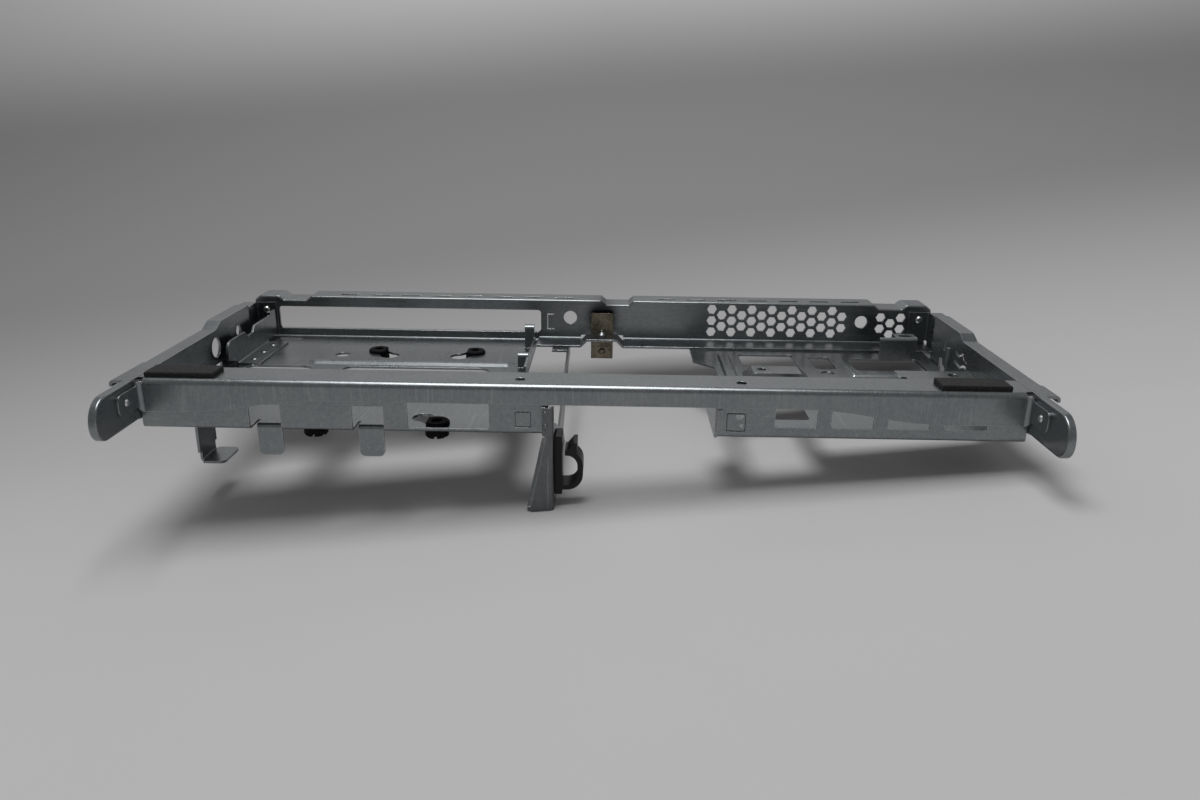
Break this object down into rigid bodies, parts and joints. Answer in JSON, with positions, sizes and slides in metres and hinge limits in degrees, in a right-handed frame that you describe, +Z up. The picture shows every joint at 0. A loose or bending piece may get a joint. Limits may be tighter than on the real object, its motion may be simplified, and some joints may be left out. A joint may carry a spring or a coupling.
{
  "type": "hard drive cage",
  "caption": "Shallow folded sheet-steel cage with a drive tray on rubber grommets, a vented rear wall, a side shelf and a hanging divider with a cable clamp.",
  "frame": {"origin": "middle of the footprint, at the level of the feet", "axes": "+X to the right along the front rail, +Y to the back through the rear wall, +Z up"},
  "size_m": [0.338, 0.1694, 0.0508],
  "materials": {
    "rail_steel": "zinc-plated sheet steel, satin with a fine grain",
    "wall_steel": "zinc-plated sheet steel, satin with a fine grain",
    "arm_steel": "zinc-plated sheet steel, satin with a fine grain",
    "tray_steel": "zinc-plated sheet steel, satin with a fine grain",
    "shelf_steel": "zinc-plated sheet steel, satin with a fine grain",
    "bracket_steel": "zinc-plated sheet steel, satin with a fine grain",
    "bright_steel": "bright plated steel",
    "spring_nickel": "dull nickel plate",
    "nylon": "moulded, half matt",
    "rubber": "moulded, matt",
    "foam": "black closed-cell foam, matt"
  },
  "bodies": {
    "root": {"front_rail": "rail_steel", "rear_wall": "wall_steel", "left_arm": "arm_steel", "right_arm": "arm_steel", "drive_tray": "tray_steel", "side_shelf": "shelf_steel", "guide_bracket": "bracket_steel", "divider_bracket": "bracket_steel", "cable_clamp": "nylon", "left_foam_pad": "foam", "right_foam_pad": "foam", "spring_clip": "spring_nickel", "clip_screw": "bright_steel", "right_ear_rivet": "bright_steel", "left_ear_rivet": "bright_steel", "right_corner_rivet": "bright_steel", "left_corner_rivet": "bright_steel", "guide_rivets": "bright_steel", "divider_rivets": "bright_steel", "front_left_grommet": "rubber", "rear_left_grommet": "rubber", "front_right_grommet": "rubber", "rear_right_grommet": "rubber"}
  },
  "joints": []
}
